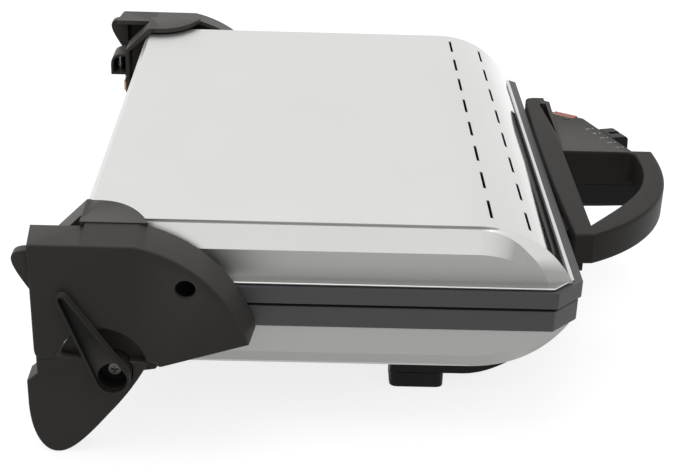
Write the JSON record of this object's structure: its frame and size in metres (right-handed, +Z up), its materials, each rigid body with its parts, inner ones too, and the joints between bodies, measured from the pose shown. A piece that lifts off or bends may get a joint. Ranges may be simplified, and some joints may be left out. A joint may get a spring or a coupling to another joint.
{
  "type": "contact grill",
  "caption": "Electric contact grill: two ribbed heated plates in hinged frames under pressed steel shells, with moulded swing arms, bow handle and slider control.",
  "frame": {"origin": "centre of the bounding box at counter level", "axes": "+X towards the side with the controls, +Y towards the hinge at the rear, +Z up"},
  "size_m": [0.399, 0.38, 0.1332],
  "materials": {
    "shell_steel": "satin pressed stainless steel",
    "frame_coating": "anthracite fine-flake coating on a casting",
    "plate_coating": "black non-stick coating on a casting",
    "bright_steel": "bright plated steel",
    "housing_plastic": "fine-grained charcoal moulding",
    "base_plastic": "plain black moulding",
    "pads": "black rubber",
    "red_lens": "red lamp window",
    "green_lens": "dark green lamp window",
    "copper": "copper-coloured metal"
  },
  "bodies": {
    "base": {"base_shell": "shell_steel", "lower_frame": "frame_coating", "lower_plate": "plate_coating", "lower_element": "bright_steel", "lower_reflector": "bright_steel", "base_plate": "base_plastic", "front_skirt": "base_plastic", "front_foot_left": "base_plastic", "front_foot_right": "base_plastic", "front_pad_left": "pads", "front_pad_right": "pads", "rear_foot_left": "housing_plastic", "rear_foot_right": "housing_plastic", "rear_pad_left": "pads", "rear_pad_right": "pads", "rear_cover": "base_plastic", "shaft_bush_left": "bright_steel", "shaft_bush_right": "bright_steel", "cord_gland": "pads", "lever_screw": "bright_steel"},
    "arms": {"hinge_shaft": "bright_steel", "arm_cover_left": "housing_plastic", "arm_cover_right": "housing_plastic", "arm_plate_left": "bright_steel", "arm_plate_right": "bright_steel", "float_pin_left": "bright_steel", "float_pin_right": "bright_steel", "stop_pin_left": "bright_steel", "stop_pin_right": "bright_steel", "strap_clip_left": "copper", "strap_clip_right": "copper"},
    "lid": {"lid_shell": "shell_steel", "upper_frame": "frame_coating", "upper_plate": "plate_coating", "upper_element": "bright_steel", "upper_reflector": "bright_steel", "float_block_left": "bright_steel", "float_block_right": "bright_steel", "handle": "housing_plastic", "control_box": "base_plastic", "regulator": "bright_steel", "handle_stud_left": "bright_steel", "handle_stud_right": "bright_steel", "heating_lens": "red_lens", "ready_lens": "green_lens"},
    "knob": {"slider_knob": "base_plastic"},
    "lever": {"hinge_lever": "housing_plastic", "lever_cup": "housing_plastic"}
  },
  "joints": [
    {"name": "lid_hinge", "type": "hinge", "parent": "base", "child": "arms", "pos_m": [0, 0.143, 0.0534], "axis": [-1, 0, 0], "range_deg": [0, 90]},
    {"name": "lid_float", "type": "hinge", "parent": "arms", "child": "lid", "pos_m": [0, 0.09994, 0.1059], "axis": [-1, 0, 0], "range_deg": [0, 2.5]},
    {"name": "thermostat_slide", "type": "slide", "parent": "lid", "child": "knob", "axis": [0.9649, 0.2443, -0.0965], "range_m": [-0.024, 0.022]},
    {"name": "lever_turn", "type": "hinge", "parent": "base", "child": "lever", "pos_m": [0, 0.1394, 0.0529], "axis": [1, 0, 0], "range_deg": [0, 70]}
  ]
}
